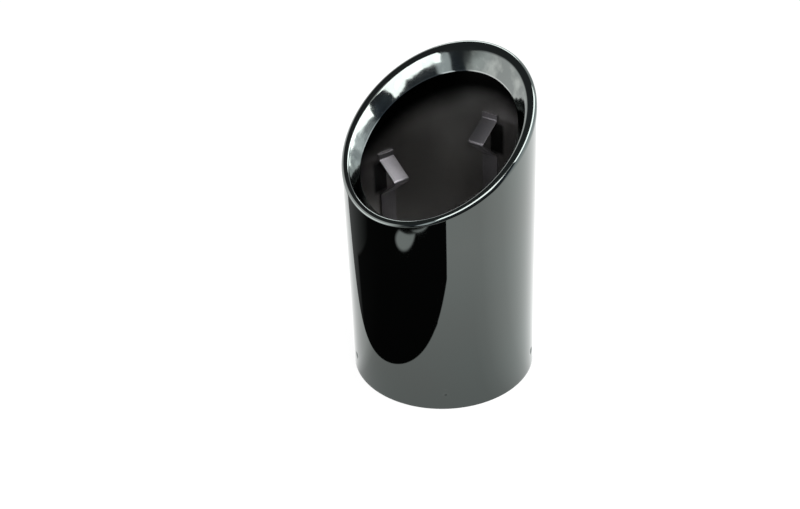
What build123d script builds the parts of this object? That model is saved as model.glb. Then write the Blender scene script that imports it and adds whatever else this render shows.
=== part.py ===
from build123d import *
import os
from math import asin, atan2, cos, hypot, radians, sin, sqrt, tan

os.makedirs("parts", exist_ok=True)

# Slip-on exhaust tip, in millimetres.
# The origin is the centre of the rear end, +Z runs along the axis to the mouth,
# and the mouth slants up to its long side at +X.

# Shell: one round sheet, rolled over at the mouth into a short funnel
outer_diameter = 85.0
wall = 1.0
mouth_height = 121.2
mouth_slant = 30.8
rim_outer_roll = 2.25
rim_inner_roll = 1.8
rim_flat = 0.25
lip_depth = 7.8
lip_inset = 8.1

# Slot in the rear edge, on the long side, with a widened entry
slot_width = 9.0
slot_depth = 30.0
slot_entry_width = 19.0
slot_entry_depth = 7.5

# Pits in the outside: one over the weld of each clip, and two that stand guard beside the slot
pit_diameter = 4.2
pit_depth = 0.45
guard_pit_angle = 24.5
guard_pit_height = 18.7

# Spring clips: strips along the inside, bent to a crest that grips the pipe
clip_count = 5
clip_width = 8.0
clip_thickness = 0.8
clip_bend = 0.8
clip_rise = 10.8
clip_fall = 7.7
clip_end = 2.6
clip_drop = 32.4
slot_clip_drop = 14.0
clip_start = 4.0
weld_start = 9.5
weld_diameter = 4.2
grip_diameter = 57.6
clip_clearance = 0.05

outer_radius = outer_diameter / 2
inner_radius = outer_radius - wall
slant = radians(mouth_slant)


def mouth_plane(depth=0.0, shift=0.0):
    """Plane parallel to the mouth and a depth under it, its origin moved up the slant by shift."""
    up_slant = Vector(cos(slant), 0, sin(slant))
    on_axis = Vector(0, 0, mouth_height - depth / cos(slant))
    return Plane(on_axis + up_slant * shift, x_dir=up_slant, z_dir=(-sin(slant), 0, cos(slant)))


# The rim is rolled round a path: where a ball that rolls inside the wall touches the mouth plane.
# Each reach is how far the funnel's lower edge lies inside the path, square to the mouth:
# on the long side, on the short side and on the flanks.
path_radius = outer_radius - rim_outer_roll
path_shift = -rim_outer_roll * tan(slant)
lip_radius = outer_radius - lip_inset
lip_drift = (lip_depth - rim_outer_roll) * tan(slant)
long_reach = (path_radius - lip_radius) / cos(slant) + lip_drift
short_reach = (path_radius - lip_radius) / cos(slant) - lip_drift
flank_reach = path_radius - lip_radius


def lean(reach):
    """Angle between the funnel and the mouth's normal, where it leaves the inner roll."""
    across = reach - rim_flat
    down = lip_depth - rim_inner_roll
    return atan2(across, down) - asin(rim_inner_roll / hypot(across, down))


def rim_inset(reach):
    """How far inside the path the funnel's face would meet the mouth plane."""
    return reach - lip_depth * tan(lean(reach))


def rimmed_form(inset, floor):
    """Solid that fills the shell's skin, inset from it all over, with the funnel sunk in its mouth."""
    long_gain, short_gain, flank_gain = (inset / cos(lean(r)) for r in (long_reach, short_reach, flank_reach))
    long_edge = path_radius / cos(slant) + path_shift - rim_inset(long_reach) + long_gain
    short_edge = path_radius / cos(slant) - path_shift - rim_inset(short_reach) + short_gain
    flank_edge = path_radius - rim_inset(flank_reach) + flank_gain
    long_lip = lip_radius / cos(slant) + long_gain
    short_lip = lip_radius / cos(slant) + short_gain
    with BuildPart() as form:
        with BuildSketch(Plane.XY.offset(floor)):
            Circle(outer_radius - inset)
        extrude(amount=2 * mouth_height)
        split(bisect_by=mouth_plane(inset), keep=Keep.BOTTOM)
        fillet(form.faces().filter_by(GeomType.PLANE).sort_by(Axis.Z)[-1].edges(), rim_outer_roll - inset)
        with BuildSketch(mouth_plane(shift=(long_edge - short_edge) / 2)):
            Ellipse((long_edge + short_edge) / 2, flank_edge)
        with BuildSketch(mouth_plane(lip_depth, (long_lip - short_lip) / 2)):
            Ellipse((long_lip + short_lip) / 2, lip_radius + flank_gain)
        loft(mode=Mode.SUBTRACT)
        rim_face = form.faces().filter_by(GeomType.PLANE).sort_by(Axis.Z)[-1]
        fillet(rim_face.inner_wires()[0].edges(), rim_inner_roll - inset)
    return form.part


# Each clip starts a little in from the edge below it: the rear edge, or the end of the slot
clip_angles = [number * 360 / clip_count for number in range(clip_count)]
clip_edges = [slot_depth if number == 0 else 0 for number in range(clip_count)]
weld_pits = [(angle, edge + weld_start) for angle, edge in zip(clip_angles, clip_edges)]
guard_pits = [(guard_pit_angle, guard_pit_height), (-guard_pit_angle, guard_pit_height)]
pit_ball = (pit_diameter**2 / 4 + pit_depth**2) / (2 * pit_depth)
pit_reach = outer_radius - pit_depth + pit_ball

with BuildPart() as tip_shell:
    add(rimmed_form(0, 0))
    add(rimmed_form(wall, -wall), mode=Mode.SUBTRACT)
    with BuildSketch(Plane.YZ):
        with BuildLine():
            Polyline(
                (-slot_width / 2, slot_depth - slot_width / 2),
                (-slot_width / 2, slot_entry_depth),
                (-slot_entry_width / 2, 0),
                (-slot_entry_width / 2, -wall),
                (slot_entry_width / 2, -wall),
                (slot_entry_width / 2, 0),
                (slot_width / 2, slot_entry_depth),
                (slot_width / 2, slot_depth - slot_width / 2),
            )
            ThreePointArc(
                (-slot_width / 2, slot_depth - slot_width / 2),
                (0, slot_depth),
                (slot_width / 2, slot_depth - slot_width / 2),
            )
        make_face()
    extrude(amount=outer_diameter, mode=Mode.SUBTRACT)
    for angle, height in weld_pits + guard_pits:
        with Locations((pit_reach * cos(radians(angle)), pit_reach * sin(radians(angle)), height)):
            Sphere(pit_ball, mode=Mode.SUBTRACT)

tip_shell.part.label = "tip_shell"
export_step(tip_shell.part, "parts/tip_shell.step")

# A strip lies with its two long edges against the round wall, so its back stands at the seat
clip_seat = sqrt((inner_radius - clip_clearance) ** 2 - (clip_width / 2) ** 2)
clip_front = clip_seat - clip_thickness
crest_roll = clip_bend + clip_thickness
grip_radius = grip_diameter / 2
rise_angle = atan2(clip_front - grip_radius, clip_rise)
fall_angle = atan2(clip_front - grip_radius, clip_fall)
crest_cut = crest_roll * ((sin(rise_angle) + sin(fall_angle)) / sin(rise_angle + fall_angle) - 1)
crest_corner = grip_radius - crest_cut


def spring_clip(angle, edge, drop):
    """Strip from above an edge up to its drop under the mouth, its crest turned in to the axis."""
    out = Vector(cos(radians(angle)), sin(radians(angle)), 0)
    top = mouth_height - drop
    with BuildPart() as clip:
        with BuildSketch(Plane((0, 0, 0), x_dir=out, z_dir=(out.Y, -out.X, 0))):
            with BuildLine():
                front = FilletPolyline(
                    (clip_front, edge + clip_start),
                    (clip_front, top - clip_fall - clip_rise),
                    (crest_corner, top - clip_fall),
                    (clip_front, top),
                    (clip_front, top + clip_end),
                    radius=[clip_bend, crest_roll, clip_bend],
                )
                offset(front, amount=clip_thickness, side=Side.RIGHT)
            make_face()
        extrude(amount=clip_width / 2, both=True)
        weld_centre = out * clip_front + Vector(0, 0, edge + weld_start)
        with BuildSketch(Plane(weld_centre, z_dir=out)):
            Circle(weld_diameter / 2)
        extrude(amount=clip_thickness + 2 * wall)
        with BuildSketch(Plane.XY):
            Circle(outer_diameter)
            Circle(inner_radius, mode=Mode.SUBTRACT)
        extrude(amount=2 * mouth_height, mode=Mode.SUBTRACT)
    return clip.part


for number in range(clip_count):
    if number == 0:
        name, drop = "slot_clip", slot_clip_drop
    else:
        name, drop = f"spring_clip_{number}", clip_drop
    clip = spring_clip(clip_angles[number], clip_edges[number], drop)
    clip.label = name
    export_step(clip, f"parts/{name}.step")
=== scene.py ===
from math import asin, ceil, cos, pi, radians, sin, sqrt

import bpy
from bpy.props import FloatProperty, FloatVectorProperty, IntProperty, PointerProperty
from mathutils import Matrix, Quaternion, Vector


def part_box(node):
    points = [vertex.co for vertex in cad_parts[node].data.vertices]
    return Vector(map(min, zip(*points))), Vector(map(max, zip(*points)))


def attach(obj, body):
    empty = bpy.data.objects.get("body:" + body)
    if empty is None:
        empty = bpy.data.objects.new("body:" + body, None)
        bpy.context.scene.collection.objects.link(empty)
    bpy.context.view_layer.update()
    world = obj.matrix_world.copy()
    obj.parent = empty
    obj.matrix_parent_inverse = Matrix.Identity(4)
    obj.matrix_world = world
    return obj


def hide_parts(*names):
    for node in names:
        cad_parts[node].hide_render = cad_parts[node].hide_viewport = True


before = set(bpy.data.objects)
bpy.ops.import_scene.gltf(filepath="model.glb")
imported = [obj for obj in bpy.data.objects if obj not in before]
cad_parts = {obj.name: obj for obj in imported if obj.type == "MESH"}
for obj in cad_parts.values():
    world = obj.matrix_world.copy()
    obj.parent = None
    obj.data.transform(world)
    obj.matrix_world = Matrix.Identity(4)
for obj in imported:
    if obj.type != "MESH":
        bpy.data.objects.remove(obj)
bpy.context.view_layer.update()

bl_info = {
    "name": "Slip-on exhaust tip",
    "version": (1, 0, 0),
    "blender": (4, 5, 0),
    "location": "View3D > Sidebar > Exhaust tip",
    "description": "Dresses a slip-on exhaust tip in black chrome and sets it in a white studio",
    "category": "Object",
}

MM = 0.001
SHELL_LOW, SHELL_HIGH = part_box("tip_shell")

# How finely the skin is divided: the widest steps on its plain stretches, beside the slot and across
# a pit, and the margin that a pit's fine steps have
PLAIN_ROW = 1.6 * MM
PLAIN_TURN = radians(2)
SLOT_STEP = 0.9 * MM
PIT_STEP = 0.32 * MM
PIT_MARGIN = 0.4 * MM
# Steps round each half of the slot's end, up the rise, round both rolls and down the funnel
ARCH_STEPS = 10
RISE_STEPS = 12
OUTER_STEPS = 14
INNER_STEPS = 12
FUNNEL_STEPS = 14
# How far before the outer roll a supporting row lies, as a share of the rise. One lies a quarter of
# this after the outer roll, and one four times this after the inner roll.
SUPPORT = 0.004
# How softly a pit's rim turns, where 0 would be sharp
PIT_EDGE = 0.12
# Steps round a clip's bends and along its rounded edges, and the sides of its weld
BEND_STEPS = 10
STRIP_EDGE_STEPS = 3
WELD_SIDES = 32
# Steps round the sheet's free edges, and the angles over which an edge counts as free and as sharp
FREE_EDGE_STEPS = 3
FREE_EDGE = radians(50)
SKIN_CREASE = radians(20)
CLIP_CREASE = radians(30)
# Points of the skin that lie nearer to each other than this become one
MERGE_REACH = 0.01 * MM
# Slack in comparing two lengths, and how far past a whole number the roll is in its next stretch
SLACK = 1e-9
ROLL_SLACK = 1e-5


def length(label, note, size):
    """Property for a length given in millimetres."""
    return FloatProperty(name=label, description=note, default=size * MM, unit="LENGTH", precision=5)


def angle(label, note, size):
    """Property for an angle given in degrees."""
    return FloatProperty(name=label, description=note, default=radians(size), subtype="ANGLE")


def number(label, note, size):
    """Property for a plain number."""
    return FloatProperty(name=label, description=note, default=size)


def colour(label, note, value):
    """Property for a colour."""
    return FloatVectorProperty(name=label, description=note, default=value, subtype="COLOR", min=0, max=1)


class ShellSizes(bpy.types.PropertyGroup):
    """Sizes of the round skin and its rolled mouth."""

    outer_diameter: length("Outer diameter", "Across the round skin", (SHELL_HIGH.y - SHELL_LOW.y) / MM)
    wall: length("Wall", "Thickness of the sheet", 1.0)
    mouth_height: length("Mouth height", "From the rear end to the mouth plane, on the axis", 121.2)
    mouth_slant: angle("Mouth slant", "How far the mouth leans back from square", 30.8)
    outer_roll: length("Outer roll", "Radius where the wall turns over into the mouth", 2.25)
    roll_share: number("Roll share", "Radius where the mouth turns down, as a share of the reach", 0.6)
    roll_cut: length("Roll cut", "Taken off that radius", 1.2)
    flat: length("Flat", "Flat ring between the two rolls", 0.25)
    lip_depth: length("Lip depth", "From the mouth plane down to the funnel's free edge", 7.8)
    lip_inset: length("Lip inset", "From the outside in to the funnel's free edge", 8.1)
    funnel_bow: angle("Funnel bow", "How much flatter the funnel starts and steeper it ends", 2.5)
    edge_break: length("Edge break", "Rounding on the free edges of the sheet", 0.3)
    plain_height: length("Plain height", "Height up to which the rows of the skin stay level", 45.0)


class SlotSizes(bpy.types.PropertyGroup):
    """Sizes of the slot in the rear edge and of the pits in the skin."""

    width: length("Slot width", "Across the slot", 9.0)
    depth: length("Slot depth", "From the rear edge to the round end", 30.0)
    entry_width: length("Entry width", "Across the slot at the rear edge", 19.0)
    entry_depth: length("Entry depth", "How far up the flared entry reaches", 7.5)
    flare_reach: length("Flare reach", "How far beside the slot the columns give way to its flare", 15.0)
    round_reach: length("Round reach", "How far above the slot the rows give way to its round end", 9.5)
    pit_diameter: length("Pit diameter", "Across a weld pit", 4.2)
    pit_depth: length("Pit depth", "Depth of a weld pit", 0.45)
    guard_angle: angle("Guard pit angle", "From the slot to the pit beside it", 24.5)
    guard_height: length("Guard pit height", "Height of the pits beside the slot", 18.7)


class ClipSizes(bpy.types.PropertyGroup):
    """Sizes of the bent spring clips inside."""

    count: IntProperty(name="Count", description="Spring clips around the inside", default=5)
    width: length("Width", "Across the strip", 8.0)
    thickness: length("Thickness", "Of the strip", 0.8)
    bend: length("Bend", "Inner radius of every bend", 0.8)
    rise: length("Rise", "Height of the ramp under the crest", 10.8)
    fall: length("Fall", "Height of the ramp over the crest", 7.7)
    end: length("End", "Flat end over the upper ramp", 2.6)
    drop: length("Drop", "From the mouth height down to the upper knee", 32.4)
    slot_drop: length("Slot clip drop", "The same for the clip over the slot", 14.0)
    start: length("Start", "From the edge below up to the strip", 4.0)
    weld_start: length("Weld start", "From the edge below up to the weld", 9.5)
    weld_diameter: length("Weld diameter", "Across the weld", 4.2)
    grip_diameter: length("Grip diameter", "Across the crests", 57.6)
    clearance: length("Clearance", "Between the strip's long edges and the wall", 0.05)
    edge_round: length("Edge round", "Rounding along the strip's edges", 0.14)


class Finishes(bpy.types.PropertyGroup):
    """Colours and gloss of the metals."""

    chrome: colour("Black chrome", "Reflection of the plated skin", (0.130, 0.143, 0.135))
    chrome_gloss: number("Chrome roughness", "Roughness of the plated skin", 0.028)
    dish: number("Dish", "How far the sheen of the dished funnel leans to the mouth", 0.32)
    ripple: length("Ripple", "Height of the slight ripples that rolling leaves on the funnel", 0.09)
    # A painted highlight: a lighter colour along the funnel's free edge, and its width
    painted_lip_highlight: colour("Painted lip highlight", "Reflection of the thinner plating along the funnel's free edge",
                     (0.27, 0.29, 0.28))
    painted_lip_highlight_width: length("Painted lip highlight width", "How wide that lighter edge is", 0.5)
    clouding: number("Clouding", "How much lighter the funnel's plating is in places", 0.6)
    funnel_haze: number("Funnel haze", "Roughness that the funnel has over the rest of the skin", 0.045)
    bare: colour("Inside steel", "Reflection of the thinly plated inside", (0.44, 0.432, 0.422))
    bare_gloss: number("Inside roughness", "Roughness of the inside", 0.30)
    # Painted shade inside under the mouth: its colour, the depth down to which it is full, and the depth over
    # which it fades out
    painted_mouth_shade: colour("Painted shade under mouth", "Reflection of the inside where it is fully plated, under the mouth",
                    (0.004, 0.004, 0.004))
    painted_mouth_shade_reach: length("Painted shade reach", "Depth under the mouth down to which the plating is full", 19.5)
    painted_mouth_shade_fade: length("Painted shade fade", "Depth over which the plating of the inside thins out", 13.0)
    spring: colour("Spring steel", "Reflection of the clips", (0.27, 0.26, 0.275))
    spring_gloss: number("Clip roughness", "Roughness of the clips", 0.42)
    # Painted shade on the wall beside each clip's ramp: how dark it is, and how far it spreads
    ramp_shade: number("Ramp shade", "How much darker the steel is beside each clip's ramp", 0.88)
    ramp_reach: angle("Ramp reach", "How far that tint spreads from the middle of a clip", 11.5)
    dust: colour("Dust", "Colour of the specks that settle on the metal", (0.30, 0.29, 0.27))


class StudioSettings(bpy.types.PropertyGroup):
    """Floor, lamps and camera."""

    floor_size: length("Floor size", "Side of the floor", 12000.0)
    fill: number("Fill", "Strength of the even light from all round", 0.9)
    lamp_level: number("Lamp level", "Brightness of a softbox's face", 7.5)
    lens: FloatProperty(name="Lens", description="Focal length in millimetres", default=61.54)


class ExhaustTipSettings(bpy.types.PropertyGroup):
    """All sizes, finishes and studio settings of the exhaust tip."""

    shell: PointerProperty(type=ShellSizes)
    slot: PointerProperty(type=SlotSizes)
    clips: PointerProperty(type=ClipSizes)
    finishes: PointerProperty(type=Finishes)
    studio: PointerProperty(type=StudioSettings)


class Field:
    """A number or a vector in a node tree, so that a rule can be written as a sum."""

    def __init__(self, tree, socket):
        self.tree = tree
        self.socket = socket

    def worked(self, kind, operation, terms, outlet=0):
        """The result of one maths node on some terms, each a field or a plain value."""
        node = self.tree.nodes.new(kind)
        node.operation = operation
        for inlet, term in terms.items():
            if isinstance(term, Field):
                self.tree.links.new(term.socket, node.inputs[inlet])
            else:
                node.inputs[inlet].default_value = term
        return Field(self.tree, node.outputs[outlet])

    def maths(self, operation, *others):
        return self.worked("ShaderNodeMath", operation, dict(enumerate((self, *others))))

    def vectors(self, operation, *others, outlet=0):
        return self.worked("ShaderNodeVectorMath", operation, dict(enumerate((self, *others))), outlet)

    def either(self, operation, other):
        """An operation that numbers and vectors share."""
        work = self.vectors if self.socket.type == "VECTOR" else self.maths
        return work(operation, other)

    def __add__(self, other):
        return self.either("ADD", other)

    def __sub__(self, other):
        return self.either("SUBTRACT", other)

    def __mul__(self, other):
        if self.socket.type == "VECTOR":
            return self.worked("ShaderNodeVectorMath", "SCALE", {0: self, 3: other})
        return self.maths("MULTIPLY", other)

    def __truediv__(self, other):
        return self.maths("DIVIDE", other)

    def __rsub__(self, other):
        return self.worked("ShaderNodeMath", "SUBTRACT", {0: other, 1: self})

    def __radd__(self, other):
        return self + other

    def dot(self, other):
        return self.vectors("DOT_PRODUCT", other, outlet=1)

    def size(self):
        return self.vectors("LENGTH", outlet=1)

    def unit(self):
        return self.vectors("NORMALIZE")

    def sine(self):
        return self.maths("SINE")

    def cosine(self):
        return self.maths("COSINE")

    def root(self):
        return self.maths("SQRT")

    def limited(self):
        """The number, held between 0 and 1."""
        return self.maths("MAXIMUM", 0).maths("MINIMUM", 1)

    def ramped(self, start, end):
        """0 where the number is at the start or before it, 1 from the end on, and even between."""
        return ((self - start) / (end - start)).limited()

    def over(self, level):
        """1 where the number is over a level, otherwise 0."""
        return self.maths("GREATER_THAN", level)

    def parts(self):
        """The X, Y and Z of a vector."""
        node = self.tree.nodes.new("ShaderNodeSeparateXYZ")
        self.tree.links.new(self.socket, node.inputs[0])
        return [Field(self.tree, outlet) for outlet in node.outputs]


def vector_of(tree, x, y, z):
    """Vector from three numbers, each a field or a plain value."""
    node = tree.nodes.new("ShaderNodeCombineXYZ")
    for inlet, term in zip(node.inputs, (x, y, z)):
        if isinstance(term, Field):
            tree.links.new(term.socket, inlet)
        else:
            inlet.default_value = term
    return Field(tree, node.outputs[0])


def wired(tree, kind, links=(), **settings):
    """New node with some settings, its inputs linked to sockets or set to values."""
    node = tree.nodes.new(kind)
    for name, value in settings.items():
        setattr(node, name, value)
    for inlet, value in dict(links).items():
        if isinstance(value, Field):
            value = value.socket
        if isinstance(value, bpy.types.NodeSocket):
            tree.links.new(value, node.inputs[inlet])
        else:
            node.inputs[inlet].default_value = value
    return node


def geometry_tree(name, sizes):
    """New geometry tree with a named input for each size, and those inputs as fields."""
    tree = bpy.data.node_groups.new(name, "GeometryNodeTree")
    tree.is_modifier = True
    tree.interface.new_socket("Geometry", in_out="INPUT", socket_type="NodeSocketGeometry")
    for label in sizes:
        tree.interface.new_socket(label, in_out="INPUT", socket_type="NodeSocketFloat")
    tree.interface.new_socket("Material", in_out="INPUT", socket_type="NodeSocketMaterial")
    tree.interface.new_socket("Geometry", in_out="OUTPUT", socket_type="NodeSocketGeometry")
    given = tree.nodes.new("NodeGroupInput")
    return tree, given, {label: Field(tree, given.outputs[label]) for label in sizes}


def end_tree(tree, given, geometry):
    """Closes a geometry tree: instances made real, material set, result handed out."""
    real = wired(tree, "GeometryNodeRealizeInstances", {"Geometry": geometry})
    painted = wired(tree, "GeometryNodeSetMaterial", {
        "Geometry": real.outputs[0], "Material": given.outputs["Material"],
    })
    wired(tree, "NodeGroupOutput", {"Geometry": painted.outputs[0]})


def add_tree(piece, tree, values):
    """Puts a geometry tree on a piece, with its inputs set by their identifiers."""
    modifier = piece.modifiers.new(tree.name, "NODES")
    modifier.node_group = tree
    for item in tree.interface.items_tree:
        if item.in_out == "INPUT" and item.name in values:
            modifier[item.identifier] = values[item.name]


def made_plain(piece, crease):
    """Turns a piece into the plain mesh that its modifiers give, smooth up to a crease angle."""
    evaluated = piece.evaluated_get(bpy.context.evaluated_depsgraph_get())
    mesh = bpy.data.meshes.new_from_object(evaluated)
    piece.modifiers.clear()
    piece.data = mesh
    mesh.shade_smooth()
    mesh.set_sharp_from_angle(angle=crease)


def put_in_scene(name, data):
    """New object that shows a mesh, a lamp or a camera."""
    item = bpy.data.objects.new(name, data)
    bpy.context.scene.collection.objects.link(item)
    return item


def new_piece(name, points, faces):
    """Object with a mesh of some points and faces, at the origin."""
    mesh = bpy.data.meshes.new(name)
    mesh.from_pydata(points, [], faces)
    return put_in_scene(name, mesh)


def seated(piece, node):
    """A finished piece rides on the part, and the node that it stands for is hidden."""
    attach(piece, "root")
    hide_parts(node)


def ruled_lines(stops, fine_zones, fine, coarse):
    """Lines through every stop, close together inside the fine zones and wide apart outside."""
    lines = []
    for start, end in zip(stops, stops[1:]):
        middle = (start + end) / 2
        inside = any(abs(middle - centre) < reach for centre, reach in fine_zones)
        count = ceil((end - start) / (fine if inside else coarse))
        lines += [start + (end - start) * index / count for index in range(count)]
    return lines + [stops[-1]]


def weld_pits(clips, slot):
    """Angle, from -pi to pi, and height of the pit over each clip's weld."""
    pits = []
    for index in range(clips.count):
        turn = index * 2 * pi / clips.count
        height = clips.weld_start + (0 if index else slot.depth)
        pits.append((turn if turn <= pi else turn - 2 * pi, height))
    return pits


def all_pits(clips, slot):
    """Every pit in the skin: over the welds and beside the slot."""
    return weld_pits(clips, slot) + [(side * slot.guard_angle, slot.guard_height) for side in (-1, 1)]


def blank_columns(shell, slot, clips):
    """Angles of the columns of the blank, close together at the slot and at the pits."""
    radius = shell.outer_diameter / 2
    reach = (slot.pit_diameter / 2 + PIT_MARGIN) / radius
    half = slot.width / 2
    turns = [pi / 2 * step / ARCH_STEPS for step in range(-ARCH_STEPS, ARCH_STEPS + 1)]
    arch = [asin(half * sin(turn) / radius) for turn in turns]
    flare = slot.flare_reach / radius
    zones = [(turn, reach) for turn, _ in all_pits(clips, slot) if abs(turn) > flare]
    side = sorted({flare, pi, *(turn + end * reach for turn, _ in zones for end in (-1, 1) if turn > 0)})
    right = ruled_lines([arch[-1], flare], [(0, flare)], SLOT_STEP / radius, PLAIN_TURN)[1:]
    right += ruled_lines(side, zones, PIT_STEP / radius, PLAIN_TURN)[1:]
    return [-turn for turn in reversed(right)] + arch + right


def roll_steps(level, count):
    """Even steps from one whole number of the roll, left out, up to the next."""
    return [level + step / count for step in range(1, count + 1)]


def blank_rows(shell, slot, clips):
    """Rows of the blank as (height, roll): the plain wall, its rise, both rolls and the funnel."""
    reach = slot.pit_diameter / 2 + PIT_MARGIN
    heights = sorted({height for _, height in all_pits(clips, slot)})
    zones = [(height, reach) for height in heights]
    arch_foot = slot.depth - slot.width / 2
    stops = {0.0, slot.entry_depth, arch_foot, arch_foot + slot.round_reach, shell.plain_height}
    stops |= {height + end * reach for height in heights for end in (-1, 1)}
    rows = [(height, 0.0) for height in ruled_lines(sorted(stops), zones, PIT_STEP, PLAIN_ROW)]
    rise = roll_steps(0, RISE_STEPS)[:-1] + [1 - SUPPORT, 1]
    outer = roll_steps(1, OUTER_STEPS)
    inner = [2 + SUPPORT / 4] + roll_steps(2, INNER_STEPS)
    funnel = [3 + SUPPORT * 4] + roll_steps(3, FUNNEL_STEPS)
    return rows + [(shell.plain_height, roll) for roll in rise + outer + inner + funnel]


def slot_shift(turn, height, shell, slot):
    """Moves a point of the blank so that columns follow the slot's flare and rows its round end."""
    radius = shell.outer_diameter / 2
    across = radius * sin(turn) if abs(turn) < pi / 2 else radius
    half = slot.width / 2
    foot = slot.depth - half
    if height < slot.entry_depth and half - SLACK <= abs(across) < slot.flare_reach and abs(turn) < pi / 2:
        flare = (slot.entry_width / 2 - half) * (1 - height / slot.entry_depth)
        across_now = abs(across) + flare * (slot.flare_reach - abs(across)) / (slot.flare_reach - half)
        turn = asin(across_now / radius) * (1 if turn > 0 else -1)
    if abs(across) < half and foot - SLACK <= height < foot + slot.round_reach:
        height += sqrt(half**2 - across**2) * (1 - (height - foot) / slot.round_reach)
    return turn, height


def blank_piece(name, shell, slot, clips):
    """The sheet before it is rolled: X is its turn round the tube, Y its height, Z its roll."""
    columns = blank_columns(shell, slot, clips)
    rows = blank_rows(shell, slot, clips)
    radius = shell.outer_diameter / 2
    half_turn = asin(slot.width / 2 / radius)
    arch_foot = slot.depth - slot.width / 2
    points = []
    for height, roll in rows:
        for turn in columns:
            points.append((*slot_shift(turn, height, shell, slot), roll))
    width = len(columns)
    faces = []
    for row in range(len(rows) - 1):
        for column in range(width - 1):
            middle = (columns[column] + columns[column + 1]) / 2
            if abs(middle) < half_turn and rows[row + 1][0] <= arch_foot + SLACK:
                continue
            corner = row * width + column
            faces.append((corner, corner + 1, corner + 1 + width, corner + width))
    return new_piece(name, points, faces)


def titled(group, *names):
    """Some sizes of a group, by their names in title case, as the inputs of a geometry tree are called."""
    return {name.replace("_", " ").title(): getattr(group, name) for name in names}


def skin_sizes(shell, slot, clips):
    """What the skin's tree takes, by the names of its inputs."""
    return {
        **titled(
            shell, "outer_diameter", "mouth_height", "mouth_slant", "outer_roll", "roll_share", "roll_cut",
            "flat", "lip_depth", "lip_inset", "funnel_bow",
        ),
        **titled(slot, "pit_diameter", "pit_depth", "guard_angle", "guard_height"),
        "Slot Depth": slot.depth,
        "Clip Count": float(clips.count),
        "Weld Start": clips.weld_start,
    }


def pit_points(tree, size):
    """Points at the middle of every pit, as (way round the skin, height, 0)."""
    index = Field(tree, tree.nodes.new("GeometryNodeInputIndex").outputs[0])
    count = size["Clip Count"]
    turn = index * 2 * pi / count
    turn = turn - turn.over(pi) * 2 * pi
    height = size["Weld Start"] + (1 - index.over(0.5)) * size["Slot Depth"]
    guard = index.over(count - 0.5)
    side = (index - count) * 2 - 1
    turn = turn * (1 - guard) + side * size["Guard Angle"] * guard
    height = height * (1 - guard) + size["Guard Height"] * guard
    place = vector_of(tree, turn * size["Outer Diameter"] * 0.5, height, 0)
    points = wired(tree, "GeometryNodePoints", {"Count": count + 2, "Position": place})
    return points.outputs[0]


def pit_dent(tree, size, way, height, roll):
    """Depth of the pits at a point of the skin, by its way round, its height and its roll."""
    pit = wired(tree, "GeometryNodeProximity", {
        0: pit_points(tree, size), "Sample Position": vector_of(tree, way, height, roll),
    }, target_element="POINTS")
    nearness = Field(tree, pit.outputs["Distance"]) / (size["Pit Diameter"] * 0.5)
    hollow = (1 - nearness * nearness).limited()
    return hollow * hollow / (hollow + PIT_EDGE) * (1 + PIT_EDGE) * size["Pit Depth"]


def lip_reach(size, base, inward):
    """How far the round lip lies inward from a base under the rim's path, at the lip's depth."""
    base_x, base_y, _ = base.parts()
    way_x, way_y, _ = inward.parts()
    lip_radius = size["Outer Diameter"] * 0.5 - size["Lip Inset"]
    spread = way_x * way_x + way_y * way_y
    across = base_x * way_x + base_y * way_y
    outside = base_x * base_x + base_y * base_y - lip_radius * lip_radius
    return (0 - across - (across * across - spread * outside).root()) / spread


def inner_shapes(size, crown, normal, inward, roll):
    """The inner roll, and the funnel that leaves it at a lean that meets the lip and bows on its way."""
    base = crown - normal * size["Lip Depth"]
    reach = lip_reach(size, base, inward)
    lip = base + inward * reach
    inner_roll = reach * size["Roll Share"] - size["Roll Cut"]
    over = reach - size["Flat"]
    down = size["Lip Depth"] - inner_roll
    straight = (over * over + down * down).root()
    lean = over.maths("ARCTAN2", down) - (inner_roll / straight).maths("ARCSINE") + size["Funnel Bow"]
    hub = crown + inward * size["Flat"] - normal * inner_roll
    swing = (pi / 2 - lean) * (roll - 2).limited()
    inner = hub + (normal * swing.cosine() + inward * swing.sine()) * inner_roll
    leave = hub + (normal * lean.sine() + inward * lean.cosine()) * inner_roll
    chord = lip - leave
    heading = chord.unit()
    square = normal * heading.dot(inward) - inward * heading.dot(normal)
    tangent = inward * lean.sine() - normal * lean.cosine()
    steepness = tangent.dot(square) / tangent.dot(heading)
    fall = (roll - 3).limited()
    funnel = leave + chord * fall + square * (chord.size() * steepness * fall * (1 - fall))
    return inner, funnel


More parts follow.
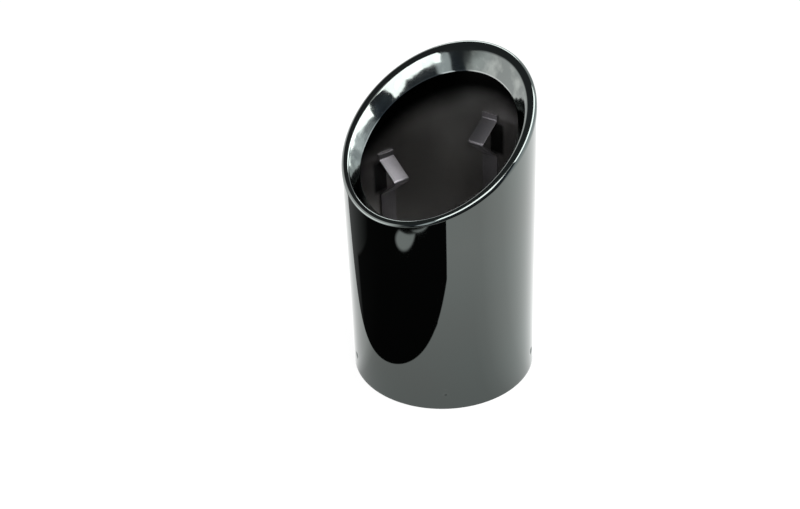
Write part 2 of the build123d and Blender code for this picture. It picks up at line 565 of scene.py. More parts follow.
def skin_tree(sizes):
    """Geometry tree that rolls the blank into the round skin, with its slanted mouth and its pits."""
    tree, given, size = geometry_tree("Rolled skin", sizes)
    turn, height, roll = Field(tree, tree.nodes.new("GeometryNodeInputPosition").outputs[0]).parts()
    radius = size["Outer Diameter"] * 0.5
    slant = size["Mouth Slant"]
    radial = vector_of(tree, turn.cosine(), turn.sine(), 0)
    normal = vector_of(tree, 0 - slant.sine(), 0, slant.cosine())
    up_slant = vector_of(tree, slant.cosine(), 0, slant.sine())

    # A ball of the outer roll's radius touches the wall and the mouth plane
    path = radius - size["Outer Roll"]
    ball_height = (
        size["Mouth Height"] + (path * turn.cosine() * slant.sine() - size["Outer Roll"]) / slant.cosine()
    )
    ball = radial * path + vector_of(tree, 0, 0, ball_height)
    dent = pit_dent(tree, size, turn * radius, height, roll)
    level = height + (ball_height - height) * roll.limited()
    wall = radial * (radius - dent) + vector_of(tree, 0, 0, level)

    # The outer roll turns from the wall's outward direction to the mouth's
    between = radial.dot(normal).maths("ARCCOSINE")
    outer_share = (roll - 1).limited()
    lean_in = (between * outer_share).sine() / between.sine()
    lean_out = (between * (1 - outer_share)).sine() / between.sine()
    outer = ball + (radial * lean_out + normal * lean_in) * size["Outer Roll"]

    # Inward runs across the mouth, square to the rim's path
    long_half = path / slant.cosine()
    outward = up_slant * (turn.cosine() * path) + vector_of(tree, 0, turn.sine() * long_half, 0)
    crown = ball + normal * size["Outer Roll"]
    inner, funnel = inner_shapes(size, crown, normal, outward.unit() * -1, roll)

    placed = wall
    for start, shape in ((1, outer), (2, inner), (3, funnel)):
        past = roll.over(start + ROLL_SLACK)
        placed = placed * (1 - past) + shape * past
    rolled = wired(tree, "GeometryNodeSetPosition", {
        "Geometry": given.outputs["Geometry"], "Position": placed,
    })
    closed = wired(tree, "GeometryNodeMergeByDistance", {
        "Geometry": rolled.outputs[0], "Distance": MERGE_REACH,
    })
    end_tree(tree, given, closed.outputs[0])
    return tree


def clip_sizes(index, shell, slot, clips):
    """What a clip's tree takes, by the names of its inputs. The first clip sits over the slot."""
    edge = 0 if index else slot.depth
    drop = clips.drop if index else clips.slot_drop
    inside = shell.outer_diameter / 2 - shell.wall
    return {
        **titled(clips, "rise", "fall", "end", "width", "thickness", "bend", "edge_round"),
        "Turn": index * 2 * pi / clips.count,
        "Lower End": edge + clips.start,
        "Upper Knee": shell.mouth_height - drop,
        "Seat Radius": sqrt((inside - clips.clearance) ** 2 - (clips.width / 2) ** 2),
        "Grip Radius": clips.grip_diameter / 2,
        "Weld Height": edge + clips.weld_start,
        "Weld Radius": clips.weld_diameter / 2,
        "Wall Radius": inside,
    }


def strip_corners(size):
    """Corners of the strip's middle line, as (way out from the axis, height), from its lower end up."""
    half = size["Thickness"] * 0.5
    front = size["Seat Radius"] - size["Thickness"]
    middle = size["Seat Radius"] - half
    push = front - size["Grip Radius"]
    rise = push.maths("ARCTAN2", size["Rise"])
    fall = push.maths("ARCTAN2", size["Fall"])
    crest_roll = size["Bend"] + size["Thickness"]
    cut = crest_roll * ((rise.sine() + fall.sine()) / (rise + fall).sine() - 1)
    share = half / ((rise + fall).cosine() + 1)
    crest_radius = size["Grip Radius"] - cut + share * (rise.cosine() + fall.cosine())
    crest_height = size["Upper Knee"] - size["Fall"] + share * (rise.sine() - fall.sine())
    lower_knee = size["Upper Knee"] - size["Fall"] - size["Rise"] + half * (rise * 0.5).maths("TANGENT")
    upper_knee = size["Upper Knee"] - half * (fall * 0.5).maths("TANGENT")
    return (
        (middle, size["Lower End"]),
        (middle, lower_knee),
        (crest_radius, crest_height),
        (middle, upper_knee),
        (middle, size["Upper Knee"] + size["End"]),
    )


def line_through(tree, corners):
    """Curve through some corners in the XZ plane, each as (X, Z)."""
    chooser = tree.nodes.new("GeometryNodeIndexSwitch")
    chooser.data_type = "VECTOR"
    for _ in range(len(corners) - len(chooser.index_switch_items)):
        chooser.index_switch_items.new()
    tree.links.new(tree.nodes.new("GeometryNodeInputIndex").outputs[0], chooser.inputs[0])
    for inlet, (out, height) in zip(list(chooser.inputs)[1:], corners):
        tree.links.new(vector_of(tree, out, 0, height).socket, inlet)
    line = wired(tree, "GeometryNodeMeshLine", {"Count": len(corners)})
    placed = wired(tree, "GeometryNodeSetPosition", {
        "Geometry": line.outputs[0], "Position": chooser.outputs[0],
    })
    return wired(tree, "GeometryNodeMeshToCurve", {"Mesh": placed.outputs[0]}).outputs[0]


def filleted(tree, curve, radius, steps):
    """A curve with its corners rounded in some steps."""
    rounded = wired(tree, "GeometryNodeFilletCurve", {
        "Curve": curve, "Radius": radius, "Count": steps,
    }, mode="POLY")
    return rounded.outputs[0]


def bent_strip(tree, size):
    """The strip along its bent middle line, closed at both ends."""
    path = line_through(tree, strip_corners(size))
    bent = filleted(tree, path, size["Bend"] + size["Thickness"] * 0.5, BEND_STEPS)
    steady = wired(tree, "GeometryNodeSetCurveNormal", {"Curve": bent, "Normal": (0, 1, 0)}, mode="FREE")
    outline = wired(tree, "GeometryNodeCurvePrimitiveQuadrilateral", {
        "Width": size["Width"], "Height": size["Thickness"],
    })
    profile = filleted(tree, outline.outputs[0], size["Edge Round"], STRIP_EDGE_STEPS)
    strip = wired(tree, "GeometryNodeCurveToMesh", {
        "Curve": steady.outputs[0], "Profile Curve": profile, "Fill Caps": True,
    })
    return strip.outputs[0]


def weld_boss(tree, size):
    """The round weld between the strip and the wall."""
    gap = size["Wall Radius"] - size["Seat Radius"]
    disc = wired(tree, "GeometryNodeMeshCylinder", {
        "Vertices": WELD_SIDES, "Radius": size["Weld Radius"], "Depth": gap * 2,
    })
    weld = wired(tree, "GeometryNodeTransform", {
        "Geometry": disc.outputs[0],
        "Translation": vector_of(tree, size["Seat Radius"], 0, size["Weld Height"]),
        "Rotation": (0, pi / 2, 0),
    })
    return weld.outputs[0]


def clip_tree(sizes):
    """Geometry tree that bends one strip along its path, and welds it to the wall."""
    tree, given, size = geometry_tree("Bent spring clip", sizes)
    joined = tree.nodes.new("GeometryNodeJoinGeometry")
    for geometry in (weld_boss(tree, size), bent_strip(tree, size)):
        tree.links.new(geometry, joined.inputs[0])
    turned = wired(tree, "GeometryNodeTransform", {
        "Geometry": joined.outputs[0], "Rotation": vector_of(tree, 0, 0, size["Turn"]),
    })
    end_tree(tree, given, turned.outputs[0])
    return tree


def shader_group(name, inputs, outputs):
    """New shader node group with inputs, by name and default, and outputs; and its inputs as fields."""
    group = bpy.data.node_groups.new(name, "ShaderNodeTree")
    for label, value in inputs.items():
        kind = "NodeSocketVector" if isinstance(value, tuple) else "NodeSocketFloat"
        group.interface.new_socket(label, in_out="INPUT", socket_type=kind).default_value = value
    for label in outputs:
        group.interface.new_socket(label, in_out="OUTPUT", socket_type="NodeSocketFloat")
    given = group.nodes.new("NodeGroupInput")
    return group, {label: Field(group, given.outputs[label]) for label in inputs}


def noise(tree, place, scale, detail):
    """Soft noise over a place, about 0.5 on the whole, at a scale and with a number of finer layers."""
    node = wired(tree, "ShaderNodeTexNoise", {"Vector": place, "Scale": scale, "Detail": detail})
    return Field(tree, node.outputs[0])


# Between which levels of their noise scratches and smudges come in
SCRATCH_LEVELS = (0.58, 0.78)
SMUDGE_LEVELS = (0.45, 0.75)
# The same for specks, over a random shade that each cell has
SPECK_LEVELS = (0.72, 0.90)
# Size of a speck, as shares of its cell: where it ends, and where it is whole
SPECK_SIZE = (0.11, 0.03)
# Finer layers in the noise of both
SCRATCH_DETAIL = 4.0
SMUDGE_DETAIL = 3.0


def hairline_group():
    """Fine lines along one direction: a mask of scratches and a height for their relief."""
    group, given = shader_group(
        "Hairlines", {"Vector": (0, 0, 0), "Stretch": (1, 1, 1), "Amount": 0.5}, ("Mask", "Height"),
    )
    height = noise(group, given["Vector"].vectors("MULTIPLY", given["Stretch"]), 1.0, SCRATCH_DETAIL)
    mask = height.ramped(*SCRATCH_LEVELS) * given["Amount"]
    wired(group, "NodeGroupOutput", {"Mask": mask, "Height": height})
    return group


def dust_group():
    """Small specks and soft smudges that settle on metal."""
    group, given = shader_group(
        "Dust", {"Vector": (0, 0, 0), "Speck Scale": 900.0, "Smudge Scale": 30.0, "Amount": 0.5},
        ("Specks", "Smudges"),
    )
    cells = wired(group, "ShaderNodeTexVoronoi", {"Vector": given["Vector"], "Scale": given["Speck Scale"]})
    near = Field(group, cells.outputs["Distance"]).ramped(*SPECK_SIZE)
    chosen = Field(group, cells.outputs["Color"]).ramped(*SPECK_LEVELS)
    smudges = noise(group, given["Vector"], given["Smudge Scale"], SMUDGE_DETAIL).ramped(*SMUDGE_LEVELS)
    wired(group, "NodeGroupOutput", {
        "Specks": near * chosen * given["Amount"], "Smudges": smudges * given["Amount"],
    })
    return group


def depth_group():
    """How far a point lies under the mouth plane."""
    group, given = shader_group(
        "Mouth depth", {"Vector": (0, 0, 0), "Mouth Height": 0.1, "Mouth Slant": 0.5}, ("Depth",),
    )
    slant = given["Mouth Slant"]
    x, _, z = given["Vector"].parts()
    depth = (given["Mouth Height"] - z) * slant.cosine() + x * slant.sine()
    wired(group, "NodeGroupOutput", {"Depth": depth})
    return group


def emptied(holder):
    """The node tree of a new material or world, without the nodes it starts with."""
    holder.use_nodes = True
    holder.node_tree.nodes.clear()
    return holder.node_tree


def coordinates(tree, kind):
    """Texture coordinates of a kind."""
    return Field(tree, tree.nodes.new("ShaderNodeTexCoord").outputs[kind])


def ray_kinds(tree):
    """Two fields that are 1 for what the camera sees and 1 for what is mirrored."""
    rays = tree.nodes.new("ShaderNodeLightPath")
    return [Field(tree, rays.outputs[kind]) for kind in ("Is Camera Ray", "Is Glossy Ray")]


def metal(name):
    """New metal material: its tree, its shader and its Object coordinates."""
    material = bpy.data.materials.new(name)
    tree = emptied(material)
    shader = wired(tree, "ShaderNodeBsdfPrincipled", {"Metallic": 1.0})
    wired(tree, "ShaderNodeOutputMaterial", {"Surface": shader.outputs[0]})
    return material, tree, shader, coordinates(tree, "Object")


def mixed_colour(tree, share, first, second):
    """Colour between two colours or sockets, by a share that varies."""
    node = tree.nodes.new("ShaderNodeMix")
    node.data_type = "RGBA"
    tree.links.new(share.socket, node.inputs[0])
    for inlet, value in ((6, first), (7, second)):
        if isinstance(value, bpy.types.NodeSocket):
            tree.links.new(value, node.inputs[inlet])
        else:
            node.inputs[inlet].default_value = (*value, 1)
    return node.outputs[2]


def toned(base, shares):
    """A colour with a share of each of its three parts."""
    return tuple(part * share for part, share in zip(base, shares))


def bumped(tree, height, strength, distance, normal=None):
    """Normal of a relief, from its height, on top of another normal if there is one."""
    links = {"Height": height, "Strength": strength, "Distance": distance}
    if normal is not None:
        links["Normal"] = normal
    return Field(tree, wired(tree, "ShaderNodeBump", links).outputs[0])


def worn(tree, place, stretch, amount, groups):
    """Wear on a metal, by name: specks and smudges, and the mask and the height of its hairlines."""
    dust = wired(tree, "ShaderNodeGroup", {"Vector": place, "Amount": 1.0}, node_tree=groups["dust"])
    lines = wired(tree, "ShaderNodeGroup", {
        "Vector": place, "Stretch": stretch, "Amount": amount,
    }, node_tree=groups["hairlines"])
    outlets = ((dust, "Specks"), (dust, "Smudges"), (lines, "Mask"), (lines, "Height"))
    return {name: Field(tree, node.outputs[name]) for node, name in outlets}


def hazed(wear, shares, gloss):
    """Roughness of a metal, with the shares that its wear adds, by name."""
    return sum((wear[name] * share for name, share in shares.items()), gloss)


def finish(tree, shader, base, roughness, normal):
    """Links a colour, a roughness and a normal to a metal's shader."""
    for name, socket in (("Base Color", base), ("Roughness", roughness.socket), ("Normal", normal.socket)):
        tree.links.new(socket, shader.inputs[name])


def under_mouth(tree, place, shell, groups):
    """Depth of a point under the mouth plane, in a material."""
    node = wired(tree, "ShaderNodeGroup", {
        "Vector": place, "Mouth Height": shell.mouth_height, "Mouth Slant": shell.mouth_slant,
    }, node_tree=groups["mouth depth"])
    return Field(tree, node.outputs["Depth"])


# Where the funnel's finish comes in: over what width inside the rim, and between what depths under it
FUNNEL_BLEND = 0.6 * MM
FUNNEL_DEPTHS = (0.2 * MM, 1.2 * MM)


def on_funnel(tree, place, depth, shell):
    """1 on the funnel inside the rim, 0 elsewhere on the outside of the skin."""
    x, y, _ = place.parts()
    path = shell.outer_diameter / 2 - shell.outer_roll
    return vector_of(tree, x, y, 0).size().ramped(path, path - FUNNEL_BLEND) * depth.ramped(*FUNNEL_DEPTHS)


def dished(tree, normal, share, shell):
    """The normal, leaned to the mouth by a share."""
    mouth = wired(tree, "ShaderNodeVectorTransform", {
        "Vector": (-sin(shell.mouth_slant), 0.0, cos(shell.mouth_slant)),
    }, vector_type="NORMAL", convert_from="OBJECT", convert_to="WORLD")
    return (normal + Field(tree, mouth.outputs[0]) * share).unit()


# For each metal, LINES is the stretch of the noise that makes its hairlines, and their amount. SPECKS,
# SCRATCHES and SMUDGES say how much of each shows in the colour, and HAZE says what the wear adds to the
# roughness. RELIEF is the strength and the height of the hairlines' relief. NOISE is a noise's scale and
# its finer layers.

# Tints between which the plating drifts, as shares of its colour
WARM = (0.97, 0.92, 0.93)
COOL = (0.98, 1.07, 1.09)
TINT_NOISE = (14.0, 2.0)
# Levels of the noise between which the funnel's plating turns cloudy
CLOUD_LEVELS = (0.46, 0.66)
CLOUD_NOISE = (120.0, 3.0)
# Over what width the painted highlight along the funnel's free edge comes in, and how strong it is
LIP_HIGHLIGHT_BLEND = 0.15 * MM
LIP_HIGHLIGHT_SHARE = 0.9
# Height of the slow wave in the skin
WAVE = 0.012 * MM
WAVE_NOISE = (42.0, 1.0)
# Noise of the ripples on the funnel
RIPPLE_NOISE = (150.0, 1.0)
CHROME_LINES = ((900, 900, 60), 0.5)
CHROME_SPECKS = 0.35
CHROME_HAZE = {"Smudges": 0.018, "Mask": 0.02, "Specks": 0.25}


def black_chrome(finishes, shell, groups):
    """Outside: dark mirror with drifting tint, haze and specks; funnel cloudy, rippled, with a painted
    highlight at its edge.
    """
    material, tree, shader, place = metal("plated_outside")
    wear = worn(tree, place, *CHROME_LINES, groups)
    depth = under_mouth(tree, place, shell, groups)
    funnel = on_funnel(tree, place, depth, shell)
    warm, cool = (toned(finishes.chrome, shares) for shares in (WARM, COOL))
    tint = mixed_colour(tree, noise(tree, place, *TINT_NOISE), warm, cool)
    cloudy = noise(tree, place, *CLOUD_NOISE).ramped(*CLOUD_LEVELS) * funnel
    clouded = mixed_colour(tree, cloudy, tint, toned(finishes.chrome, (1 + finishes.clouding,) * 3))
    # Painted highlight: a lighter colour along the funnel's free edge
    lip_highlight_start = shell.lip_depth - finishes.painted_lip_highlight_width
    edge = depth.ramped(lip_highlight_start, lip_highlight_start + LIP_HIGHLIGHT_BLEND) * funnel
    lip_highlighted = mixed_colour(tree, edge * LIP_HIGHLIGHT_SHARE, clouded, finishes.painted_lip_highlight)
    dusty = mixed_colour(tree, wear["Specks"] * CHROME_SPECKS, lip_highlighted, finishes.dust)
    haze = hazed(wear, CHROME_HAZE, finishes.chrome_gloss) + funnel * finishes.funnel_haze
    waved = bumped(tree, noise(tree, place, *WAVE_NOISE), 1.0, WAVE)
    rippled = bumped(tree, noise(tree, place, *RIPPLE_NOISE), funnel, finishes.ripple, waved)
    finish(tree, shader, dusty, haze, dished(tree, rippled, funnel * finishes.dish, shell))
    return material


# Over what angle and what height the painted shade beside a clip's ramp comes in
RAMP_TURN_BLEND = radians(2.5)
RAMP_HEIGHT_BLEND = 2.5 * MM


def painted_shade_beside_ramps(tree, place, settings):
    """Painted shade: 1 on the wall beside the ramp of each clip, on the side away from a middle line, 0
    elsewhere.
    """
    clips, reach = settings.clips, settings.finishes.ramp_reach
    x, y, z = place.parts()
    turn = y.maths("ARCTAN2", x)
    aside = turn.maths("WRAP", pi / clips.count, -pi / clips.count)
    away = (aside * (turn - pi / clips.count).sine()).over(0)
    at_slot = (pi / clips.count - turn.maths("ABSOLUTE")).over(0)
    under = settings.shell.mouth_height - clips.drop + at_slot * (clips.drop - clips.slot_drop) - z
    near = aside.maths("ABSOLUTE").ramped(reach, reach - RAMP_TURN_BLEND)
    ramp = clips.rise + clips.fall
    return near * away * under.ramped(0, RAMP_HEIGHT_BLEND) * under.ramped(ramp, ramp - RAMP_HEIGHT_BLEND)


# The darkest steel inside, as a share of its colour
INSIDE_DARK = (0.55, 0.55, 0.55)
INSIDE_NOISE = (22.0, 3.0)
# How far the end of the full painted shade under the mouth wanders, as a share of its fade
MOUTH_SHADE_WANDER = 0.2
INSIDE_LINES = ((40, 40, 1400), 0.8)
INSIDE_SPECKS = 0.5
INSIDE_SCRATCHES = 0.2
INSIDE_HAZE = {"Smudges": 0.08, "Mask": 0.08}
INSIDE_RELIEF = (0.15, 0.03 * MM)


def inside_steel(settings, groups):
    """Inside: warm steel with rolling lines and a drifting tone, in painted shade under the mouth that fades
    deeper down, and beside each clip's ramp.
    """
    finishes, shell = settings.finishes, settings.shell
    material, tree, shader, place = metal("inside_steel_painted_shade")
    wear = worn(tree, place, *INSIDE_LINES, groups)
    drift = noise(tree, place, *INSIDE_NOISE)
    dark = toned(finishes.bare, INSIDE_DARK)
    steel = mixed_colour(tree, drift, dark, finishes.bare)
    lined = mixed_colour(tree, wear["Mask"] * INSIDE_SCRATCHES, steel, dark)
    dusty = mixed_colour(tree, wear["Specks"] * INSIDE_SPECKS, lined, finishes.dust)
    depth = under_mouth(tree, place, shell, groups) + (drift - 0.5) * finishes.painted_mouth_shade_fade * MOUTH_SHADE_WANDER
    # Painted shade: darkest under the mouth, fading to the steel's own colour deeper down
    unshaded = depth.ramped(finishes.painted_mouth_shade_reach, finishes.painted_mouth_shade_reach + finishes.painted_mouth_shade_fade)
    unshaded = unshaded * unshaded * (3 - unshaded * 2)
    # Painted shade on the wall beside each clip's ramp
    unshaded = unshaded * (1 - painted_shade_beside_ramps(tree, place, settings) * finishes.ramp_shade)
    base = mixed_colour(tree, unshaded, finishes.painted_mouth_shade, dusty)
    haze = hazed(wear, INSIDE_HAZE, finishes.bare_gloss)
    finish(tree, shader, base, haze, bumped(tree, wear["Height"], *INSIDE_RELIEF))
    return material


# The steel in the clips' hairlines and smudges, as a share of its colour
CLIP_DARK = (0.72, 0.72, 0.72)
CLIP_LINES = ((1300, 1300, 70), 1.0)
CLIP_SCRATCHES = 0.6
CLIP_SMUDGES = 0.3
CLIP_HAZE = {"Smudges": 0.10, "Mask": 0.08}
CLIP_RELIEF = (0.5, 0.04 * MM)


def spring_steel(finishes, groups):
    """Clips: cool grey strip steel with its grain up the strip."""
    material, tree, shader, place = metal("spring_strip")
    wear = worn(tree, place, *CLIP_LINES, groups)
    dark = toned(finishes.spring, CLIP_DARK)
    grain = mixed_colour(tree, wear["Mask"] * CLIP_SCRATCHES, finishes.spring, dark)
    base = mixed_colour(tree, wear["Smudges"] * CLIP_SMUDGES, grain, dark)
    haze = hazed(wear, CLIP_HAZE, finishes.spring_gloss)
    finish(tree, shader, base, haze, bumped(tree, wear["Height"], *CLIP_RELIEF))
    return material


def materials(settings):
    """The object's materials, made once and then found by name."""
    if "plated_outside" not in bpy.data.materials:
        groups = {"hairlines": hairline_group(), "dust": dust_group(), "mouth depth": depth_group()}
        black_chrome(settings.finishes, settings.shell, groups)
        inside_steel(settings, groups)
        spring_steel(settings.finishes, groups)
    return bpy.data.materials


class EXHAUSTTIP_OT_shell(bpy.types.Operator):
    """Rolls the sheet into the round skin with its slanted, rolled-in mouth"""

    bl_idname = "exhausttip.shell"
    bl_label = "Tip shell"

    def execute(self, context):
        settings = context.scene.exhaust_tip
        shell, slot, clips = settings.shell, settings.slot, settings.clips
        metals = materials(settings)
        sizes = skin_sizes(shell, slot, clips)
        piece = blank_piece("chromed_shell", shell, slot, clips)
        add_tree(piece, skin_tree(sizes), {**sizes, "Material": metals["plated_outside"]})
        made_plain(piece, SKIN_CREASE)
        piece.data.materials.append(metals["inside_steel_painted_shade"])
        sheet = piece.modifiers.new("Sheet", "SOLIDIFY")
        sheet.thickness = shell.wall
        sheet.offset = -1
        sheet.material_offset = 1
        edges = piece.modifiers.new("Edges", "BEVEL")
        edges.limit_method = "ANGLE"
        edges.angle_limit = FREE_EDGE
        edges.width = shell.edge_break
        edges.segments = FREE_EDGE_STEPS
        made_plain(piece, SKIN_CREASE)
        seated(piece, "tip_shell")
        return {"FINISHED"}


class EXHAUSTTIP_OT_clips(bpy.types.Operator):
    """Bends the spring clips and sets them round the inside"""

    bl_idname = "exhausttip.clips"
    bl_label = "Spring clips"

    def execute(self, context):
        settings = context.scene.exhaust_tip
        shell, slot, clips = settings.shell, settings.slot, settings.clips
        metals = materials(settings)
        tree = clip_tree(clip_sizes(0, shell, slot, clips))
        for index in range(clips.count):
            name = f"spring_strip_{index}" if index else "slot_strip"
            piece = new_piece(name, [], [])
            sizes = clip_sizes(index, shell, slot, clips)
            add_tree(piece, tree, {**sizes, "Material": metals["spring_strip"]})
            made_plain(piece, CLIP_CREASE)
            seated(piece, f"spring_clip_{index}" if index else "slot_clip")
        return {"FINISHED"}


# What the metal mirrors around it, as a wall of screens that ends at some height: azimuth in degrees,
# colour over the screens' power, and the elevation of the upper edge in degrees
SCREEN_POWER = 2.0
DARK = (0.045, 0.052, 0.062)
PALE = (0.96, 0.93, 0.94)
SURROUNDINGS = (
    (-180, DARK, 40),
    (-177, (0.92, 0.96, 1.0), 33),
    (-167, (0.92, 0.96, 1.0), 30),
    (-163, DARK, 30),
    (-118, DARK, 40),
    (-90, (0.035, 0.045, 0.060), 40),
    (-84, (0.40, 0.43, 0.46), 48),
    (-63, (0.70, 0.74, 0.78), 48),
    (-50, (0.80, 0.84, 0.88), 48),
    (-36, (0.60, 0.64, 0.67), 48),
    (-20, (0.70, 0.74, 0.75), 45),
    (-6, (0.40, 0.42, 0.43), 50),
    (20, (0.75, 0.77, 0.77), 52),
    (60, (0.94, 0.92, 0.93), 50),
    (76, PALE, 28),
    (97, PALE, 28),
    (106, PALE, 28),
    (115, PALE, 29),
    (123, (0.94, 0.91, 0.92), 28),
    (132, (0.94, 0.91, 0.92), 26),
    (146, (0.98, 0.96, 0.97), 24),
    (158, (1.0, 1.0, 1.0), 22),
    (163, (0.70, 0.70, 0.70), 20),
    (168, DARK, 22),
    (180, DARK, 30),
)
# Height over which the screens' upper edge softens, as a share of a right angle, and what is above it
SCREEN_BLEND = 0.10
CEILING = (0.045, 0.048, 0.050)


def round_about(tree, direction, stops):
    """Colour by the compass direction, as a vector, from stops of (azimuth in degrees, colour)."""
    x, y, _ = direction.parts()
    share = y.maths("ARCTAN2", x) / (2 * pi) + 0.5
    ramp = wired(tree, "ShaderNodeValToRGB", {"Fac": share})
    elements = ramp.color_ramp.elements
    for azimuth, value in stops[1:-1]:
        elements.new(azimuth / 360 + 0.5).color = (*value, 1)
    for element, (azimuth, value) in ((elements[0], stops[0]), (elements[-1], stops[-1])):
        element.position = azimuth / 360 + 0.5
        element.color = (*value, 1)
    return Field(tree, ramp.outputs[0]).vectors("ADD", (0.0, 0.0, 0.0))


def studio_world(settings):
    """White to the camera, even fill on the object, and screens with dark gaps in the mirror finish."""
    world = bpy.data.worlds.new("studio")
    bpy.context.scene.world = world
    tree = emptied(world)
    direction = coordinates(tree, "Generated")
    screens = round_about(tree, direction, [(azimuth, value) for azimuth, value, _ in SURROUNDINGS])
    tops = round_about(tree, direction, [(azimuth, (top / 90,) * 3) for azimuth, _, top in SURROUNDINGS])
    height = direction.parts()[2].maths("ARCSINE") / (pi / 2)
    share = ((tops.parts()[0] - height) / SCREEN_BLEND + 0.5).limited()
    ceiling = vector_of(tree, *CEILING)
    tent = (screens * share + ceiling * (1 - share)) * SCREEN_POWER
    camera, mirrored = ray_kinds(tree)
    even = camera + (1 - mirrored) * (1 - camera) * settings.fill
    seen = tent * mirrored + vector_of(tree, even, even, even)
    back = wired(tree, "ShaderNodeBackground", {"Color": seen})
    wired(tree, "ShaderNodeOutputWorld", {"Surface": back.outputs[0]})


# The dark card on the floor that the wall mirrors: its straight sides, each as a point in metres and
# a heading in degrees, with how soft the side is as a share of its distance
CARD_RIGHT = ((-0.1085, -0.0945), -135.0, 0.006)
CARD_FRONT = ((-0.0947, -0.0580), -112.3, 0.006)
CARD_LEFT = ((-0.0380, 0.0180), 83.0, 0.36)
CARD_CORNER = ((0.0300, 0.1330), 57.0, 0.60)
# How far out the card's middle reaches, and over what width it ends
CARD_REACH = 0.225
CARD_BLEND = 0.02
# How much of the floor's light the card takes
CARD_SHADE = 0.99
# A lit gap in the card, a lit strip beside it, and a lit gap in the dark floor further out. Each is an
# oval: its middle, its half sizes, how it leans in Y over X, and how sharp its edge is
GAP = ((-0.1820, 0.0040, 0.0), (0.0160, 0.0340), 1.25, 4)
STRIP = ((-0.1865, -0.0500, 0.0), (0.0050, 0.0125), -7.0, 2)
FAR_GAP = ((-0.6200, 0.0800, 0.0), (0.42, 0.09), 0.0, 2)
# Where in X the gap is cut straight
GAP_CUT = (-0.1875, -0.1860)
# A faint glow on the card along its left side: a heading, the cosines of the angle off it between which
# the glow comes in, where it starts in X and in Y, over what width, and how strong it is
GLOW_HEADING = 83.0
GLOW_SPREAD = (0.68, 0.98)
GLOW_START = (-0.0490, 0.1235)
GLOW_BLEND = 5 * MM
GLOW_SHARE = 0.12
# The floor is brighter behind and on both sides, and dark in front. A spread is the cosines of the angle
# off a heading between which a zone comes in. A zone of its own has its heading, its spread, and the
# distances between which it comes in.
BEHIND = 38.8
BEHIND_SPREAD = (-0.4, 0.6)
LEFT_ZONE = (138.0, (0.85, 1.0), (0.20, 0.35))
FRONT_ZONE = (BEHIND, (-0.45, -0.60), (0.25, 0.28))
RIGHT_SIDE = -50.0
RIGHT_SPREAD = (0.62, 1.0)
# What is added near and far behind, and between which distances the far share comes in. Then what the
# left and the right side gain, and how much of the floor's light is gone in front.
NEAR_BEHIND = 0.5
FAR_BEHIND = 0.45
FAR_DISTANCES = (0.3, 0.7)
LEFT_GAIN = 3.2
RIGHT_GAIN = 0.285
FRONT_SHADE = 0.95
# The shade at the object's foot in front: its reach, its spread off both headings, and its depth
FOOT_REACH = 0.1716
FOOT_RIGHT = (0.95, 0.45)
FOOT_BEHIND = (-0.1, -0.3)
FOOT_SHADE = 0.44
# A light patch far behind, which the long side of the funnel mirrors, and what it adds
PATCH = ((-0.45, 1.11, 0.0), (0.55, 0.55), 0.0, 1)
PATCH_GAIN = 1.8
# Colour of the paper under the object, and how much of it the camera sees lit evenly
PAPER = (0.9, 0.9, 0.9, 1)
EVEN_SHARE = 0.85


def spot(place, middle, half, lean, sharpness):
    """1 in an oval on the floor and 0 outside it, from its half sizes, its lean and how sharp its edge is."""
    x, y, _ = (place - middle).parts()
    way = vector_of(place.tree, x / half[0], (y - x * lean) / half[1], 0).size()
    return ((1 - way) * sharpness).limited()


def toward(place, heading):
    """Cosine of the angle between the way to a place on the floor and a heading in degrees."""
    return place.unit().dot((cos(radians(heading)), sin(radians(heading)), 0.0))


def zone(place, heading, spread, distances):
    """1 on the floor toward a heading and far enough out, 0 elsewhere."""
    return toward(place, heading).ramped(*spread) * place.size().ramped(*distances)


def beside(place, corner, heading, soft):
    """1 on the right of a line on the floor, 0 on its left, with an edge that softens with distance."""
    across = (sin(radians(heading)), -cos(radians(heading)), 0.0)
    offset = place.dot(across) - (corner[0] * across[0] + corner[1] * across[1])
    return (offset / (place.size() * soft) + 0.5).limited()


def card_share(place):
    """1 on the dark card, less where it glows, and 0 off it and in its lit gaps."""
    x, y, _ = place.parts()
    left_side = beside(place, *CARD_LEFT) * beside(place, *CARD_CORNER)
    card = beside(place, *CARD_RIGHT) * beside(place, *CARD_FRONT) * (1 - left_side)
    card = card * ((CARD_REACH - place.size()) / CARD_BLEND + 0.5).limited()
    gap = spot(place, *GAP) * x.ramped(*GAP_CUT)
    starts = [way.ramped(start, start + GLOW_BLEND) for way, start in zip((x, y), GLOW_START)]
    glow = toward(place, GLOW_HEADING).ramped(*GLOW_SPREAD) * starts[0].maths("MAXIMUM", starts[1])
    return card * (1 - gap) * (1 - spot(place, *STRIP)) * (1 - glow * GLOW_SHARE)


def floor_level(place):
    """How bright the mirror finish sees the floor off the card."""
    behind = toward(place, BEHIND)
    right = toward(place, RIGHT_SIDE)
    added = place.size().ramped(*FAR_DISTANCES) * FAR_BEHIND + NEAR_BEHIND
    level = behind.ramped(*BEHIND_SPREAD) * added + spot(place, *PATCH) * PATCH_GAIN + 1
    ended = zone(place, *FRONT_ZONE) * (1 - spot(place, *FAR_GAP))
    level = level * (1 - ended * FRONT_SHADE) + zone(place, *LEFT_ZONE) * LEFT_GAIN
    level = level * (right.ramped(*RIGHT_SPREAD) * RIGHT_GAIN + 1)
    foot = place.size().ramped(FOOT_REACH, 0) * FOOT_SHADE
    return level * (1 - foot * right.ramped(*FOOT_RIGHT) * behind.ramped(*FOOT_BEHIND))


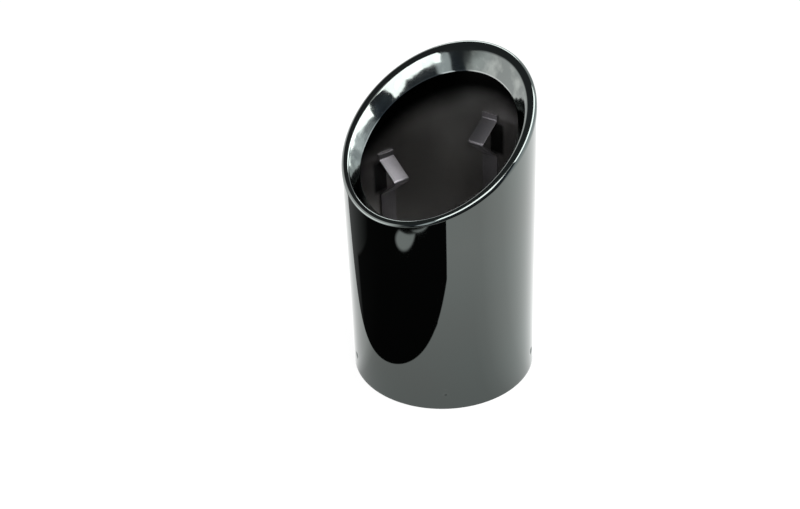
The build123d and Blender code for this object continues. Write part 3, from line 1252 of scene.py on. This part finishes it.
def studio_floor(studio, shell):
    """White floor that keeps a light shadow, with a dark card that only the mirror finish sees."""
    half = studio.floor_size / 2
    corners = [(-half, -half, 0), (half, -half, 0), (half, half, 0), (-half, half, 0)]
    floor = new_piece("studio_floor", corners, [(0, 1, 2, 3)])
    material = bpy.data.materials.new("studio_floor")
    tree = emptied(material)
    place = coordinates(tree, "Object")
    camera, mirrored = ray_kinds(tree)
    outside = place.size().over(shell.outer_diameter / 2)
    bright = camera + mirrored * (1 - card_share(place) * CARD_SHADE) * floor_level(place)
    share = ((camera * EVEN_SHARE + mirrored) * outside).limited()
    paper = wired(tree, "ShaderNodeBsdfDiffuse", {"Color": PAPER})
    shine = wired(tree, "ShaderNodeEmission", {"Strength": bright})
    both = wired(tree, "ShaderNodeMixShader", {0: share, 1: paper.outputs[0], 2: shine.outputs[0]})
    wired(tree, "ShaderNodeOutputMaterial", {"Surface": both.outputs[0]})
    floor.data.materials.append(material)


# The softboxes: name, azimuth and elevation in degrees, width and height in metres, roll in degrees, and
# brightness as a share of the lamp level. They all stand at one distance from the mouth.
SOFTBOXES = (
    ("softbox_left", -146, 42, (0.82, 0.36), 4, 1.0),
    ("softbox_right", -57.5, 50.5, (0.94, 0.35), 0, 1.0),
    ("softbox_between", -121, 55, (0.30, 0.18), 0, 0.17),
    ("softbox_back", 38, 42, (0.60, 0.26), 0, 0.7),
)
SOFTBOX_DISTANCE = 0.95


def softbox(name, azimuth, elevation, size, roll, level, target):
    """Rectangular lamp that faces a target, turned by a roll, its face at a given brightness."""
    lamp = bpy.data.lights.new(name, "AREA")
    lamp.shape = "RECTANGLE"
    lamp.size, lamp.size_y = size
    lamp.energy = level * pi * size[0] * size[1]
    stand = put_in_scene(name, lamp)
    out = Vector((
        cos(radians(elevation)) * cos(radians(azimuth)),
        cos(radians(elevation)) * sin(radians(azimuth)),
        sin(radians(elevation)),
    ))
    stand.location = target + out * SOFTBOX_DISTANCE
    facing = out.to_track_quat("Z", "Y") @ Quaternion((0, 0, 1), radians(roll))
    stand.rotation_euler = facing.to_euler()
    stand.visible_camera = False


# The camera: its place, the ways to its right and ahead, its sensor and the shift of the picture
CAMERA_PLACE = (-0.42379, -0.30535, 0.39748)
CAMERA_RIGHT = (0.602, -0.7971, -0.04709)
CAMERA_AHEAD = (0.65365, 0.52582, -0.5443)
CAMERA_SENSOR = 36
CAMERA_SHIFT = (0.0250, -0.0035)


def studio_camera(lens):
    """Camera at the photograph's angle, and the scene looks through it."""
    camera = bpy.data.cameras.new("photo_view")
    camera.lens = lens
    camera.sensor_width = CAMERA_SENSOR
    camera.shift_x, camera.shift_y = CAMERA_SHIFT
    stand = put_in_scene("photo_view", camera)
    right = Vector(CAMERA_RIGHT).normalized()
    ahead = Vector(CAMERA_AHEAD).normalized()
    turned = Matrix((right, right.cross(ahead), -ahead)).transposed().to_4x4()
    stand.matrix_world = Matrix.Translation(CAMERA_PLACE) @ turned
    bpy.context.scene.camera = stand


class EXHAUSTTIP_OT_studio(bpy.types.Operator):
    """Sets the floor, the surroundings, the softboxes and the camera"""

    bl_idname = "exhausttip.studio"
    bl_label = "Studio"

    def execute(self, context):
        settings = context.scene.exhaust_tip
        studio = settings.studio
        studio_world(studio)
        studio_floor(studio, settings.shell)
        target = Vector((0, 0, settings.shell.mouth_height))
        for *place, share in SOFTBOXES:
            softbox(*place, studio.lamp_level * share, target)
        studio_camera(studio.lens)
        context.scene.view_settings.view_transform = "Standard"
        return {"FINISHED"}


class EXHAUSTTIP_PT_panel(bpy.types.Panel):
    """Sizes and steps of the exhaust tip"""

    bl_idname = "EXHAUSTTIP_PT_panel"
    bl_label = "Exhaust tip"
    bl_space_type = "VIEW_3D"
    bl_region_type = "UI"
    bl_category = "Exhaust tip"

    def draw(self, context):
        settings = context.scene.exhaust_tip
        for label, group in (
            ("Shell", settings.shell), ("Slot and pits", settings.slot), ("Clips", settings.clips),
            ("Finishes", settings.finishes), ("Studio", settings.studio),
        ):
            box = self.layout.box()
            box.label(text=label)
            for name in group.__annotations__:
                box.prop(group, name)
        for step in STEPS:
            self.layout.operator(step.bl_idname)


STEPS = (EXHAUSTTIP_OT_shell, EXHAUSTTIP_OT_clips, EXHAUSTTIP_OT_studio)
CLASSES = (
    ShellSizes, SlotSizes, ClipSizes, Finishes, StudioSettings, ExhaustTipSettings, *STEPS,
    EXHAUSTTIP_PT_panel,
)


def register():
    for item in CLASSES:
        bpy.utils.register_class(item)
    bpy.types.Scene.exhaust_tip = PointerProperty(type=ExhaustTipSettings)


def unregister():
    del bpy.types.Scene.exhaust_tip
    for item in reversed(CLASSES):
        bpy.utils.unregister_class(item)


def main():
    register()
    bpy.ops.exhausttip.shell()
    bpy.ops.exhausttip.clips()
    bpy.ops.exhausttip.studio()


if __name__ == "__main__":
    main()
